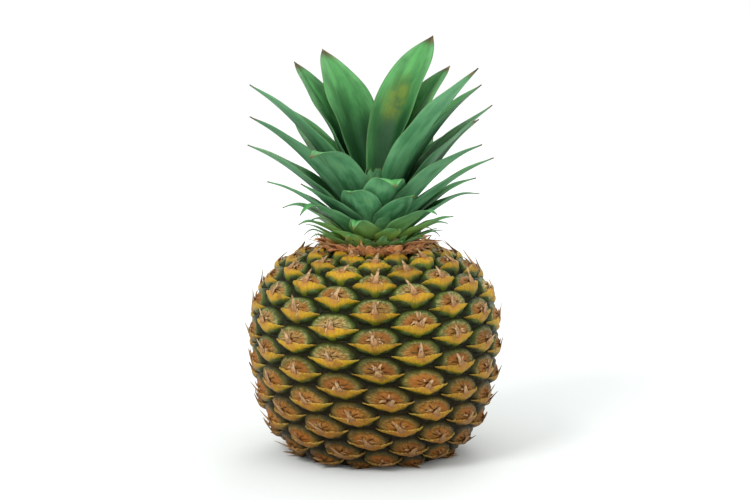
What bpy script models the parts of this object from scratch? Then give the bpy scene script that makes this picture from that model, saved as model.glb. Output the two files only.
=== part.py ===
"""A whole pineapple standing on its base: the fruit with its spiral net of eyes, the cut
stalk under it, and the crown of leaves on its short stem. Metres, +Z up, origin in the
middle of the flat spot that the fruit rests on. Azimuth 0 faces -Y and 90 faces +X."""

import math
import random

import bmesh
import bpy
import numpy as np
from mathutils import Vector

# Fruit: a barrel, widest above the middle, with a flat foot and a flat neck
FRUIT_DIAMETER = 0.130
FRUIT_HEIGHT = 0.109
FOOT_RADIUS = 0.030
NECK_RADIUS = 0.0245
BELLY_LEVEL = 0.60  # height of the widest place, as a share of the fruit's height
BARREL_POWER = 2.2  # 2 is a plain ellipse, and more is squarer

# Eyes: a spiral lattice of 18 steep columns, with 10 and 8 spirals the other two ways
EYE_COLUMNS = 18
EYE_SPIRALS = 10
EYE_HEIGHT = 0.0154  # along the skin, from one eye to the next in its column
EYE_START = 0.0114  # up the skin from the edge of the foot to the lowest eye of a column
EYE_TWIST = math.radians(36)  # turn of a column from the belly down to the foot
GROOVE_DEPTH = 0.0030
GROOVE_HALF_WIDTH = 0.0017
EYE_CROWN = 0.0012  # how far an eye's middle stands over its rim

# Cut end of the stalk, set flush in the foot
STALK_RADIUS = 0.0140
STALK_DEPTH = 0.0050

# Crown: a tapered stem with a spiral of scales and leaves, each on its own nested bowl
CROWN_STEM_RADIUS = 0.0170
CROWN_TIP_RADIUS = 0.0045
STEM_TAPER = 0.30  # loss of radius for each unit of height
COLLAR_SCALES = 13
CROWN_LEAVES = 43
GOLDEN_ANGLE = math.radians(137.508)
LOWER_TURN = math.radians(338)  # azimuth of the lowest scale
FIRST_LEAF_LEVEL = 0.0010  # from the neck to the middle of the lowest scale's root
ROOT_RISE = 0.0003  # least, from one root up to the next
LEAF_GAP = 0.0005  # least between two leaves at their roots
STEM_GAP = 0.0006  # from the stem to the near side of a leaf's root
WIDEST_HALF_ANGLE = math.radians(40)  # most that a leaf wraps round the stem, to either side
# (azimuth in degrees, share of its full length) of the uppermost leaves, from the innermost
# down; the ones under them follow the spiral.
UPPER_LEAVES = (
    (140, 0.98),
    (213, 0.93),
    (128, 0.86),
    (240, 0.88),
    (184, 0.62),
    (62, 0.96),
    (100, 0.85),
    (205, 0.88),
    (277, 0.94),
    (250, 0.72),
    (160, 0.90),
    (95, 0.86),
    (318, 0.66),
    (283, 0.90),
    (12, 0.48),
    (225, 0.95),
    (125, 0.95),
    (55, 0.90),
    (190, 0.95),
    (338, 0.50),
    (268, 0.98),
    (150, 1.00),
    (80, 0.95),
    (28, 0.60),
    (235, 1.00),
    (312, 0.80),
    (280, 0.95),
    (110, 1.00),
)

SCALE_THICKNESS, LEAF_THICKNESS = 0.0005, 0.0007
SCALE_LENGTH, SCALE_WIDTH = 0.0165, 0.0085
SHORT_LEAF, LONG_LEAF = 0.026, 0.090
NARROW_LEAF, WIDE_LEAF = 0.013, 0.033
SCALE_LEAN = (math.radians(74), math.radians(90))  # root and tip, from upright
ROOT_LEAN = (math.radians(58), math.radians(12))  # lowest and uppermost, from upright
TIP_LEAN = (math.radians(78), math.radians(46))
LENGTH_SPREAD = 0.05
SWAY = 0.004  # most sideways drift of a leaf's tip

FIT_GAP = 0.0003  # between pieces that touch

GREEN = ("crown_leaf", (0.075, 0.230, 0.085, 1), 0.48)
TAN = ("collar_scale", (0.420, 0.190, 0.085, 1), 0.75)
SKIN = ("fruit_skin", (0.300, 0.210, 0.035, 1), 0.50)
FIBRE = ("cut_stalk", (0.520, 0.400, 0.210, 1), 0.80)
PALE = ("crown_stem", (0.480, 0.500, 0.220, 1), 0.70)


def clear_scene():
    for obj in list(bpy.data.objects):
        bpy.data.objects.remove(obj)


def new_collection(name):
    group = bpy.data.collections.new(name)
    bpy.context.scene.collection.children.link(group)
    return group


def material(look):
    name, colour, roughness = look
    made = bpy.data.materials.get(name) or bpy.data.materials.new(name)
    made.use_nodes = True
    shader = made.node_tree.nodes["Principled BSDF"]
    shader.inputs["Base Color"].default_value = colour
    shader.inputs["Roughness"].default_value = roughness
    shader.inputs["Metallic"].default_value = 0
    return made


def add_object(name, bm, look, group):
    mesh = bpy.data.meshes.new(name)
    bm.to_mesh(mesh)
    bm.free()
    mesh.materials.append(material(look))
    obj = bpy.data.objects.new(name, mesh)
    group.objects.link(obj)
    return obj


def polar(radius, azimuth, height):
    return Vector((radius * math.sin(azimuth), -radius * math.cos(azimuth), height))


# ---- fruit


def fruit_radius(height):
    """Radius of the barrel at a height: a quarter superellipse below the belly and one above."""
    belly = FRUIT_DIAMETER / 2
    share = min(max(height / FRUIT_HEIGHT, 0), 1)
    if share < BELLY_LEVEL:
        end, away = FOOT_RADIUS, 1 - share / BELLY_LEVEL
    else:
        end, away = NECK_RADIUS, (share - BELLY_LEVEL) / (1 - BELLY_LEVEL)
    return end + (belly - end) * (1 - away**BARREL_POWER) ** (1 / BARREL_POWER)


class Meridian:
    """The fruit's outline from foot to neck, measured along the skin."""

    def __init__(self, samples=600):
        angles = np.linspace(0, math.pi, samples)
        self.heights = FRUIT_HEIGHT * (1 - np.cos(angles)) / 2
        self.radii = np.array([fruit_radius(z) for z in self.heights])
        steps = np.hypot(np.diff(self.heights), np.diff(self.radii))
        self.along = np.concatenate([[0], np.cumsum(steps)])
        self.length = self.along[-1]
        self.belly = float(np.interp(BELLY_LEVEL * FRUIT_HEIGHT, self.heights, self.along))

    def at(self, along):
        """(radius, height), which runs on over the flat foot and the flat neck."""
        radius = float(np.interp(along, self.along, self.radii))
        height = float(np.interp(along, self.along, self.heights))
        past = max(-along, along - self.length, 0)
        return radius - past, height

    def inwards(self, along):
        """Unit vector into the flesh, as (radial, vertical)."""
        step = 0.0005
        (r0, z0), (r1, z1) = self.at(along - step), self.at(along + step)
        size = math.hypot(r1 - r0, z1 - z0)
        return -(z1 - z0) / size, (r1 - r0) / size


def lattice_place(column, row, belly):
    """(azimuth, distance up the skin) of a point of the eye lattice, whole numbers at eyes."""
    along = EYE_START + (row + column * EYE_SPIRALS / EYE_COLUMNS) * EYE_HEIGHT
    below = min(max(1 - along / belly, 0), 1)
    return column * 2 * math.pi / EYE_COLUMNS + EYE_TWIST * below**1.5, along


def eye_corners(column, row):
    """The six corners of an eye's cell, as (kind, column, row): each is shared by three eyes."""
    return (
        ("right", column, row),
        ("upper", column, row),
        ("right", column - 1, row + 1),
        ("upper", column - 1, row),
        ("right", column - 1, row),
        ("upper", column, row - 1),
    )


def same_corner(kind, column, row):
    """One name for a corner, however many times round the fruit its columns were counted."""
    turns = column // EYE_COLUMNS
    return kind, column - turns * EYE_COLUMNS, row + turns * EYE_SPIRALS


def eyes_on(skin):
    """Every eye whose middle is on the barrel, as (column, row)."""
    margin = EYE_HEIGHT / 4
    rows = math.ceil(skin.length / EYE_HEIGHT) + EYE_SPIRALS
    found = []
    for column in range(EYE_COLUMNS):
        for row in range(-rows, rows):
            along = lattice_place(column, row, skin.belly)[1]
            if margin <= along <= skin.length - margin:
                found.append((column, row))
    return found


def build_fruit(group, cutters):
    """A net of six-sided cells, one to an eye, each inset and raised over its grooves."""
    skin = Meridian()
    bm = bmesh.new()
    cells = [[same_corner(*c) for c in eye_corners(*eye)] for eye in eyes_on(skin)]
    uses = {}
    for cell in cells:
        for corner in cell:
            uses[corner] = uses.get(corner, 0) + 1
    corner_shift = {"upper": (1 / 3, 1 / 3), "right": (2 / 3, -1 / 3)}
    points = {}
    for corner, count in uses.items():
        kind, column, row = corner
        over, up = corner_shift[kind]
        azimuth, along = lattice_place(column + over, row + up, skin.belly)
        on_edge = count < 3
        if on_edge and along < skin.length / 2:
            along = min(along, -GROOVE_DEPTH)
        elif on_edge:
            along = max(along, skin.length + GROOVE_DEPTH)
        radius, height = skin.at(along)
        depth = 0 if on_edge else GROOVE_DEPTH
        radial, vertical = skin.inwards(along)
        points[corner] = bm.verts.new(polar(radius + radial * depth, azimuth, height + vertical * depth))
    faces = [bm.faces.new([points[corner] for corner in cell]) for cell in cells]
    bmesh.ops.holes_fill(bm, edges=bm.edges[:])
    bmesh.ops.recalc_face_normals(bm, faces=bm.faces[:])
    bmesh.ops.inset_individual(
        bm, faces=faces, thickness=GROOVE_HALF_WIDTH, depth=GROOVE_DEPTH, use_even_offset=True
    )
    bmesh.ops.poke(bm, faces=faces, offset=EYE_CROWN)
    for vert in bm.verts:
        vert.co.z = min(max(vert.co.z, 0), FRUIT_HEIGHT)
    fruit = add_object("fruit", bm, SKIN, group)
    socket = disc("stalk_socket", STALK_RADIUS + FIT_GAP, -STALK_DEPTH, STALK_DEPTH + FIT_GAP, cutters)
    socket.hide_render = True
    socket.display_type = "WIRE"
    cut = fruit.modifiers.new("stalk_socket", "BOOLEAN")
    cut.operation = "DIFFERENCE"
    cut.object = socket


def disc(name, radius, low, high, group):
    """An upright cylinder between two heights."""
    bm = bmesh.new()
    bmesh.ops.create_cone(
        bm, cap_ends=True, segments=32, radius1=radius, radius2=radius, depth=high - low
    )
    bmesh.ops.translate(bm, verts=bm.verts[:], vec=(0, 0, (low + high) / 2))
    return add_object(name, bm, FIBRE, group)


# ---- crown


def stem_radius(rise):
    """Radius of the crown's stem at a rise over the neck."""
    return max(CROWN_STEM_RADIUS - STEM_TAPER * rise, CROWN_TIP_RADIUS)


def build_crown_stem(group, top):
    """A turned cone with a rounded top, its outline run from the top down its outer side."""
    tip = stem_radius(top)
    angles = np.linspace(0, math.pi / 2, 5)
    dome = [(tip * math.sin(angle), top + tip * math.cos(angle) / 2) for angle in angles]
    side = [(stem_radius(rise), rise) for rise in np.linspace(top, FIT_GAP, 9)[1:]]
    profile = dome + side + [(0, FIT_GAP)]
    points = [(radius, 0, FRUIT_HEIGHT + rise) for radius, rise in profile]
    mesh = bpy.data.meshes.new("crown_stem")
    mesh.from_pydata(points, [(i, i + 1) for i in range(len(points) - 1)], [])
    mesh.materials.append(material(PALE))
    stem = bpy.data.objects.new("crown_stem", mesh)
    group.objects.link(stem)
    turn = stem.modifiers.new("turn", "SCREW")
    turn.steps = turn.render_steps = 24
    turn.use_merge_vertices = True
    turn.merge_threshold = 0.00005
    turn.use_smooth_shade = False


class Leaf:
    """A scale or a leaf: where it is in the spiral, and the size that its place gives it."""

    def __init__(self, place, chance):
        self.number = place - COLLAR_SCALES
        self.is_scale = self.number < 0
        share = self.number / (CROWN_LEAVES - 1)
        from_top = CROWN_LEAVES - 1 - self.number
        self.azimuth = LOWER_TURN + place * GOLDEN_ANGLE
        own_length = 1 + chance.uniform(-1, 1) * LENGTH_SPREAD
        if self.is_scale:
            self.lean, lean_tip = SCALE_LEAN
            length, self.width = SCALE_LENGTH, SCALE_WIDTH
            self.thickness = SCALE_THICKNESS
        else:
            upright = 1 - (1 - share) ** 0.7
            grown = min(share / 0.85, 1)
            self.lean = ROOT_LEAN[0] + (ROOT_LEAN[1] - ROOT_LEAN[0]) * upright
            lean_tip = TIP_LEAN[0] + (TIP_LEAN[1] - TIP_LEAN[0]) * upright
            length = SHORT_LEAF + (LONG_LEAF - SHORT_LEAF) * grown**2 * (3 - 2 * grown)
            self.width = NARROW_LEAF + (WIDE_LEAF - NARROW_LEAF) * share
            self.thickness = LEAF_THICKNESS
            if from_top < len(UPPER_LEAVES):
                self.azimuth = math.radians(UPPER_LEAVES[from_top][0])
                own_length = UPPER_LEAVES[from_top][1]
        self.bend = (lean_tip - self.lean) / length
        self.length = length * own_length
        self.sway = chance.uniform(-1, 1) * SWAY * length / LONG_LEAF

    def line(self, rise, samples=24):
        """Its middle line as (radius, height) points, bending steadily as it goes out."""
        step = self.length / samples
        radius = stem_radius(rise) + STEM_GAP + self.thickness / 2
        height = FRUIT_HEIGHT + rise
        points = [(radius, height)]
        for i in range(samples):
            lean = self.lean + self.bend * (i + 0.5) * step
            radius += math.sin(lean) * step
            height += math.cos(lean) * step
            points.append((radius, height))
        return points

    def half_width(self, along, radius):
        """Broad at the root, broadest two fifths of the way up, then drawn in to a point."""
        root_share, broadest, tip_share = 0.62, 0.40, 0.03
        if along < broadest:
            share = root_share + (1 - root_share) * math.sin(math.pi / 2 * along / broadest)
        else:
            share = 1 - (1 - tip_share) * ((along - broadest) / (1 - broadest)) ** 1.7
        return min(share * self.width / 2, WIDEST_HALF_ANGLE * radius)

    def half_angle(self, line):
        """The most that it takes up round the stem, to either side of its azimuth."""
        last = len(line) - 1
        turns = [
            (self.half_width(i / last, radius) + abs(self.sway) * (i / last) ** 2) / radius
            for i, (radius, _) in enumerate(line)
        ]
        return max(turns)

    def rise_step(self, rise):
        """How much higher a root must be to clear one at this rise."""
        taper = STEM_TAPER if stem_radius(rise) > CROWN_TIP_RADIUS else 0
        spread = math.sin(self.lean) + taper * math.cos(self.lean)
        return (self.thickness + LEAF_GAP) / spread


def root_rises(leaves):
    """Rise of each root over the neck: over the one before it, and a clear step over every
    lower leaf that it overlaps."""
    placed = []
    rise = FIRST_LEAF_LEVEL - ROOT_RISE
    for leaf in leaves:
        rise += ROOT_RISE
        reach = leaf.half_angle(leaf.line(rise))
        for other_rise, azimuth, other_reach in placed:
            apart = abs(math.remainder(leaf.azimuth - azimuth, 2 * math.pi))
            if apart < reach + other_reach:
                rise = max(rise, other_rise + leaf.rise_step(other_rise))
        placed.append((rise, leaf.azimuth, reach))
    return [rise for rise, _, _ in placed]


def add_leaf(leaf, rise, group):
    """A sheet on the bowl that its middle line would turn into, made solid."""
    if leaf.is_scale:
        name, look, across, up = f"collar_scale_{leaf.number + COLLAR_SCALES + 1:02d}", TAN, 2, 3
    else:
        name, look, across, up = f"crown_leaf_{leaf.number + 1:02d}", GREEN, 4, 6
    bm = bmesh.new()
    bmesh.ops.create_grid(bm, x_segments=across, y_segments=up, size=1)
    line = leaf.line(rise)
    radii, heights = np.array(line).T
    places = np.linspace(0, 1, len(line))
    for vert in bm.verts:
        side, along = vert.co.x, (vert.co.y + 1) / 2
        radius = float(np.interp(along, places, radii))
        height = float(np.interp(along, places, heights))
        shift = side * leaf.half_width(along, radius) + leaf.sway * along**2
        vert.co = polar(radius, leaf.azimuth + shift / radius, height)
    blade = add_object(name, bm, look, group)
    shell = blade.modifiers.new("thickness", "SOLIDIFY")
    shell.thickness = leaf.thickness
    shell.offset = 0


def build_crown(group):
    """Scales, then leaves, up the stem: each on a bowl of its own inside the bowls before it."""
    chance = random.Random(7)
    leaves = [Leaf(place, chance) for place in range(COLLAR_SCALES + CROWN_LEAVES)]
    rises = root_rises(leaves)
    build_crown_stem(group, rises[-1])
    for leaf, rise in zip(leaves, rises):
        add_leaf(leaf, rise, group)


def main():
    clear_scene()
    pineapple = new_collection("pineapple")
    cutters = new_collection("cutters")
    build_fruit(pineapple, cutters)
    disc("stalk_stub", STALK_RADIUS, 0, STALK_DEPTH, pineapple)
    build_crown(pineapple)


main()
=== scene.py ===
"""Looks of a whole pineapple standing on its base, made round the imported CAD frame.

Azimuth 0 faces -Y, where the camera stands, and 90 faces +X."""

import math
import random

import bmesh
import bpy
import numpy as np
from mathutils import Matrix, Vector


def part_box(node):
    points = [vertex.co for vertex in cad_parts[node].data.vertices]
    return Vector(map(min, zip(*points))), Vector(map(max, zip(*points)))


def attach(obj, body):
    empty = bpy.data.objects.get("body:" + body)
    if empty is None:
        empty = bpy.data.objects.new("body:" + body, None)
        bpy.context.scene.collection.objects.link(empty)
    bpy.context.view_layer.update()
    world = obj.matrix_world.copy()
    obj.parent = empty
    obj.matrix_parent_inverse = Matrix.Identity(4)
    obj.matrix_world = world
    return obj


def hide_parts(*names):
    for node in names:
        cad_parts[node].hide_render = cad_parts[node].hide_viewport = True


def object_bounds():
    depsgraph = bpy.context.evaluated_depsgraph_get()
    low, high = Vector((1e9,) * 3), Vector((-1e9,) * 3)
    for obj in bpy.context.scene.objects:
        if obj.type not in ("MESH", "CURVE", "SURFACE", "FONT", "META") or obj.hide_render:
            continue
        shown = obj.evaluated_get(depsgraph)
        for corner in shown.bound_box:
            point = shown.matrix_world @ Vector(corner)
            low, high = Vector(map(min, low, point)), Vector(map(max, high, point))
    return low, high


MM = 0.001

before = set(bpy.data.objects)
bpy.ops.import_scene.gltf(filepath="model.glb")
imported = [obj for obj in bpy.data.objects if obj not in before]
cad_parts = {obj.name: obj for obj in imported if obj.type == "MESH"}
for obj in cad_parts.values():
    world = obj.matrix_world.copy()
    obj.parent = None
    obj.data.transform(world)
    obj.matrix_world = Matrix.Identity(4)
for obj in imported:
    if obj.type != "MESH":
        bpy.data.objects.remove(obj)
cad_low, cad_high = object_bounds()


# ---- shader graphs


class Graph:
    """A material and its nodes, made by short calls."""

    def __init__(self, name):
        self.material = bpy.data.materials.new(name)
        self.material.use_nodes = True
        self.tree = self.material.node_tree
        self.shader = self.tree.nodes["Principled BSDF"]

    def put(self, socket, value):
        if isinstance(value, bpy.types.NodeSocket):
            self.tree.links.new(value, socket)
        else:
            socket.default_value = value

    def node(self, kind, settings=None, **inputs):
        made = self.tree.nodes.new("ShaderNode" + kind)
        for key, value in (settings or {}).items():
            setattr(made, key, value)
        for key, value in inputs.items():
            self.put(made.inputs[key], value)
        return made

    def attribute(self, name):
        """A value stored at a piece's points."""
        return self.node("Attribute", {"attribute_name": name}).outputs["Fac"]

    def place(self):
        """The point's own place on the object, in metres."""
        return self.node("TexCoord").outputs["Object"]

    def scaled(self, vector, scale):
        made = self.node("VectorMath", {"operation": "MULTIPLY"})
        self.put(made.inputs[0], vector)
        made.inputs[1].default_value = scale
        return made.outputs[0]

    def noise(self, vector, scale, detail=3.0, rough=0.55):
        inputs = {"Vector": vector, "Scale": scale, "Detail": detail, "Roughness": rough}
        return self.node("TexNoise", **inputs).outputs["Fac"]

    def cells(self, vector, scale):
        """Distance to the nearest of many scattered points."""
        return self.node("TexVoronoi", Vector=vector, Scale=scale).outputs["Distance"]

    def math(self, operation, a, b=0.0, clamp=False):
        made = self.node("Math", {"operation": operation, "use_clamp": clamp})
        self.put(made.inputs[0], a)
        self.put(made.inputs[1], b)
        return made.outputs[0]

    def times(self, a, b, clamp=False):
        return self.math("MULTIPLY", a, b, clamp)

    def plus(self, a, b):
        return self.math("ADD", a, b)

    def band(self, value, low, high, out_low=0.0, out_high=1.0):
        """A smooth step of value between low and high."""
        made = self.node("MapRange", {"interpolation_type": "SMOOTHSTEP"})
        for key, number in (
            ("Value", value),
            ("From Min", low),
            ("From Max", high),
            ("To Min", out_low),
            ("To Max", out_high),
        ):
            self.put(made.inputs[key], number)
        return made.outputs["Result"]

    def mix(self, share, a, b, blend="MIX"):
        made = self.node("Mix", {"data_type": "RGBA", "blend_type": blend})
        self.put(made.inputs["Factor"], share)
        for index, value in ((6, a), (7, b)):
            if isinstance(value, tuple):
                value = (*value, 1)
            self.put(made.inputs[index], value)
        return made.outputs[2]

    def cover(self, colour, mask, strength, over):
        """The colour with another laid over it where the mask is, at a strength."""
        return self.mix(self.times(mask, strength), colour, over)

    def bump(self, height, strength, distance):
        made = self.node("Bump", Height=height, Strength=strength, Distance=distance)
        return made.outputs["Normal"]

    def surface(self, **inputs):
        for key, value in inputs.items():
            self.put(self.shader.inputs[key.replace("_", " ")], value)
        return self.material


# ---- meshes


def smoothstep(low, high, value):
    share = np.clip((value - low) / (high - low), 0, 1)
    return share * share * (3 - 2 * share)


class Sheets:
    """Points, faces and point attributes gathered into one mesh."""

    def __init__(self):
        self.points, self.faces, self.values = [], [], {}
        self.count = 0

    def add(self, points, faces, **values):
        points = np.asarray(points, float).reshape(-1, 3)
        self.points.append(points)
        self.faces.extend([tuple(int(i) + self.count for i in face) for face in faces])
        for key, value in values.items():
            full = np.broadcast_to(np.asarray(value, float).reshape(-1), (len(points),))
            self.values.setdefault(key, []).append(full)
        self.count += len(points)

    def build(self, name, material, merge=None):
        mesh = bpy.data.meshes.new(name)
        mesh.from_pydata(np.concatenate(self.points).tolist(), [], self.faces)
        for key, parts in self.values.items():
            layer = mesh.attributes.new(key, "FLOAT", "POINT")
            layer.data.foreach_set("value", np.concatenate(parts).astype(np.float32))
        if merge:
            bm = bmesh.new()
            bm.from_mesh(mesh)
            bmesh.ops.remove_doubles(bm, verts=bm.verts[:], dist=merge)
            bmesh.ops.recalc_face_normals(bm, faces=bm.faces[:])
            bm.to_mesh(mesh)
            bm.free()
        mesh.materials.append(material)
        mesh.polygons.foreach_set("use_smooth", [True] * len(mesh.polygons))
        obj = bpy.data.objects.new(name, mesh)
        bpy.context.scene.collection.objects.link(obj)
        return obj


def grid_faces(rows, columns, start=0, wrap=False, flip=False):
    """Quads of a grid of points laid row by row."""
    faces = []
    for i in range(rows - 1):
        for j in range(columns if wrap else columns - 1):
            k = (j + 1) % columns
            quad = (i * columns + j, i * columns + k, (i + 1) * columns + k, (i + 1) * columns + j)
            quad = tuple(start + n for n in quad)
            faces.append(quad[::-1] if flip else quad)
    return faces


def show(obj, slot, *nodes):
    """Puts a piece on the one body, in place of its CAD nodes."""
    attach(obj, "root")
    if nodes:
        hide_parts(*nodes)


# ---- the fruit's surface

fruit_low, fruit_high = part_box("fruit")
FRUIT_HEIGHT = fruit_high.z - fruit_low.z
BELLY_RADIUS = (fruit_high.x - fruit_low.x) / 2 + 0.3 * MM
FOOT_RADIUS, NECK_RADIUS = 30.0 * MM, 24.5 * MM
BELLY_LEVEL, BARREL_POWER = 0.60, 2.2
EYE_COLUMNS, EYE_SPIRALS = 18, 10
EYE_HEIGHT, EYE_START = 15.4 * MM, 11.4 * MM
EYE_TWIST = math.radians(36)
GROOVE, EYE_CROWN = 3.0 * MM, 1.2 * MM


def barrel_radius(height):
    share = np.clip(np.asarray(height) / FRUIT_HEIGHT, 0, 1)
    low = share < BELLY_LEVEL
    end = np.where(low, FOOT_RADIUS, NECK_RADIUS)
    away = np.where(low, 1 - share / BELLY_LEVEL, (share - BELLY_LEVEL) / (1 - BELLY_LEVEL))
    return end + (BELLY_RADIUS - end) * (1 - away**BARREL_POWER) ** (1 / BARREL_POWER)


_turn = np.linspace(0, math.pi, 1200)
_heights = FRUIT_HEIGHT * (1 - np.cos(_turn)) / 2
_radii = barrel_radius(_heights)
_along = np.concatenate([[0], np.cumsum(np.hypot(np.diff(_heights), np.diff(_radii)))])
SKIN_LENGTH = _along[-1]
BELLY_ALONG = float(np.interp(BELLY_LEVEL * FRUIT_HEIGHT, _heights, _along))


def outline(along):
    """(radius, height) at a distance up the skin, running on over the flat foot and neck."""
    past = np.maximum(np.maximum(-along, along - SKIN_LENGTH), 0)
    return np.interp(along, _along, _radii) - past, np.interp(along, _along, _heights)


def skin_points(azimuth, along, out):
    """Points standing out from the skin by a distance."""
    radius, height = outline(along)
    step = 0.8 * MM
    (r0, z0), (r1, z1) = outline(along - step), outline(along + step)
    size = np.hypot(r1 - r0, z1 - z0)
    normal_r, normal_z = (z1 - z0) / size, -(r1 - r0) / size
    radius = np.maximum(radius + normal_r * out, 0.5 * MM)
    height = height + normal_z * out
    return np.stack([radius * np.sin(azimuth), -radius * np.cos(azimuth), height], -1)


def lattice(column, row):
    """(azimuth, distance up the skin) of a place in the eye lattice."""
    along = EYE_START + (row + column * EYE_SPIRALS / EYE_COLUMNS) * EYE_HEIGHT
    below = np.clip(1 - along / BELLY_ALONG, 0, 1)
    return column * 2 * math.pi / EYE_COLUMNS + EYE_TWIST * below**1.5, along


def list_eyes():
    rows = math.ceil(SKIN_LENGTH / EYE_HEIGHT) + EYE_SPIRALS + 2
    found = []
    for column in range(EYE_COLUMNS):
        for row in range(-rows, rows):
            along = float(lattice(column, row)[1])
            if -0.25 * EYE_HEIGHT <= along <= SKIN_LENGTH + 0.1 * EYE_HEIGHT:
                found.append((column, row))
    return found


EYES = list_eyes()
SKEW = EYE_SPIRALS / EYE_COLUMNS
# Of the six-sided cell that an eye fills, in columns and in rows
CORNERS = np.array([(2, -1), (1, 1), (-1, 2), (-2, 1), (-1, -1), (1, -2)]) / 3
HALF_WIDE, HALF_TALL = 0.60, 0.485  # of an eye, in columns and in rows


def eye_dome(over, up):
    """How far an eye's surface stands out, at a place in columns and rows from its middle."""
    q = np.abs(over / HALF_WIDE) ** 2.4 + np.abs(up / HALF_TALL) ** 2.4
    return -GROOVE + (GROOVE + EYE_CROWN) * np.clip(1 - q, 0, 1) ** 0.42


class Eye:
    """One eye, with the small differences that its place in the spiral gives it."""

    def __init__(self, column, row, chance):
        self.column, self.row = column, row
        self.along = float(lattice(column, row)[1])
        self.level = min(max(self.along / SKIN_LENGTH, 0), 1)
        self.tone = chance.random()
        self.swell = chance.uniform(-0.5, 0.5) * MM
        self.folds = chance.choice((5, 6, 7))
        self.fold_turn = chance.uniform(0, math.pi)
        self.furrow = chance.uniform(0.46, 0.56)
        self.lean = chance.uniform(-0.10, 0.10)
        self.shift = chance.uniform(-0.03, 0.03)
        self.lip = chance.uniform(-0.04, 0.035)
        self.rags = [chance.uniform(0, 2 * math.pi) for _ in range(4)]
        self.spine = chance.uniform(5.0, 9.0) * MM
        self.spine_sway = math.radians(chance.uniform(-42, 42))
        self.spine_rise = chance.uniform(0.15, 1.0)
        self.slivers = [
            (math.radians(chance.uniform(-165, 165)), chance.uniform(1.8, 4.2) * MM)
            for _ in range(chance.choice((1, 2, 3, 4)))
        ]

    def at(self, over, up, out):
        """Points at (columns across, rows up at the same azimuth, distance out)."""
        azimuth, along = lattice(self.column + over, self.row + up - SKEW * over)
        return skin_points(azimuth, along, out)

    def relief(self, over, up):
        """The furrow inside the arch and the dry folds, and how deep in a fold each point is."""
        x, y = over / HALF_WIDE - self.shift, up / HALF_TALL - 0.04
        rim, turn = np.hypot(x, y), np.arctan2(y, x)
        upper = smoothstep(-0.7, 0.35, np.sin(turn))
        furrow_at = self.furrow + 0.03 * np.sin(2 * turn + self.fold_turn)
        furrow = np.exp(-(((rim - furrow_at) / 0.10) ** 2))
        wave = np.abs(np.sin(self.folds * turn / 2 + self.fold_turn + 1.4 * rim))
        valley = (1 - wave**0.5) * np.exp(-(((rim - 0.26) / 0.17) ** 2))
        middle = np.exp(-((rim / 0.085) ** 2))
        swell = np.exp(-((rim / 0.30) ** 2))
        depth = 1.0 * furrow * (0.35 + 0.65 * upper) + 1.2 * valley + 0.9 * middle - 0.55 * swell
        return -depth * MM, np.clip(valley * 1.3 + middle, 0, 1)

    def surface(self, over, up):
        """Distance out of the eye's own surface, away from its rim."""
        relief, _ = self.relief(over, up)
        return eye_dome(over, up - self.lean * 0.2) + self.swell + relief


def build_skin(eyes, material):
    """The domes of the eyes, meeting in the grooves."""
    rings = (6, 12, 18, 24, 30, 37, 44, 51, 58, 65, 72, 79, 85, 90, 95, 100)  # % of the way out
    per_edge = 8
    rim = []
    for k in range(6):
        a, b = CORNERS[k], CORNERS[(k + 1) % 6]
        rim += [a + (b - a) * i / per_edge for i in range(per_edge)]
    rim = np.array(rim)
    from_middle = np.tile(np.abs(np.arange(per_edge) / per_edge - 0.5) * 2, 6)
    edge_depth = -GROOVE * (0.72 + 0.28 * from_middle**2)
    over, up = rim[:, 0], rim[:, 1] + SKEW * rim[:, 0]
    n = len(over)
    sheets = Sheets()
    for eye in eyes:
        points = [eye.at(np.zeros(1), np.zeros(1), eye.surface(np.zeros(1), np.zeros(1)))]
        marks = [(np.zeros(1), np.zeros(1), np.zeros(1), np.ones(1))]
        for percent in rings:
            share = percent / 100
            x, y = over * share, up * share
            relief, crease = eye.relief(x, y)
            out = eye_dome(x, y - eye.lean * 0.2 * (1 - share)) + relief
            out = out + eye.swell * (1 - share**2)
            meet = smoothstep(0.80, 1.0, share)
            out = out * (1 - meet) + edge_depth * meet
            points.append(eye.at(x, y, out))
            x, y = x / HALF_WIDE, y / HALF_TALL
            marks.append((np.hypot(x, y), y, x, crease))
        points = np.concatenate(points)
        points[:, 2] = np.clip(points[:, 2], 0, None)
        faces = [(0, 1 + i, 1 + (i + 1) % n) for i in range(n)]
        faces += grid_faces(len(rings), n, 1, wrap=True)
        rims, ups, overs, creases = (np.concatenate(parts) for parts in zip(*marks))
        sheets.add(
            points,
            faces,
            rim=rims,
            up=ups,
            over=overs,
            crease=creases,
            tone=eye.tone,
            level=eye.level,
        )
    skin = sheets.build("fruit_skin", material, merge=0.02 * MM)
    close_ends(skin)
    return skin


def close_ends(skin):
    """Fills the open rings on the neck and the foot with shallow dishes."""
    bm = bmesh.new()
    bm.from_mesh(skin.data)
    rim_layer = bm.verts.layers.float["rim"]
    level_layer = bm.verts.layers.float["level"]
    for is_top in (False, True):
        edges = [
            e for e in bm.edges if e.is_boundary and (e.verts[0].co.z > FRUIT_HEIGHT / 2) == is_top
        ]
        height = FRUIT_HEIGHT - 3.0 * MM if is_top else 2.2 * MM
        middle = bm.verts.new((0, 0, height))
        middle[rim_layer] = 1.2
        middle[level_layer] = 1.0 if is_top else 0.0
        for edge in edges:
            a, b = edge.verts
            bm.faces.new((a, b, middle)).smooth = True
    bmesh.ops.recalc_face_normals(bm, faces=bm.faces[:])
    bm.to_mesh(skin.data)
    bm.free()


BRACT_HALF = 0.63  # of a bract's width, in columns


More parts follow.
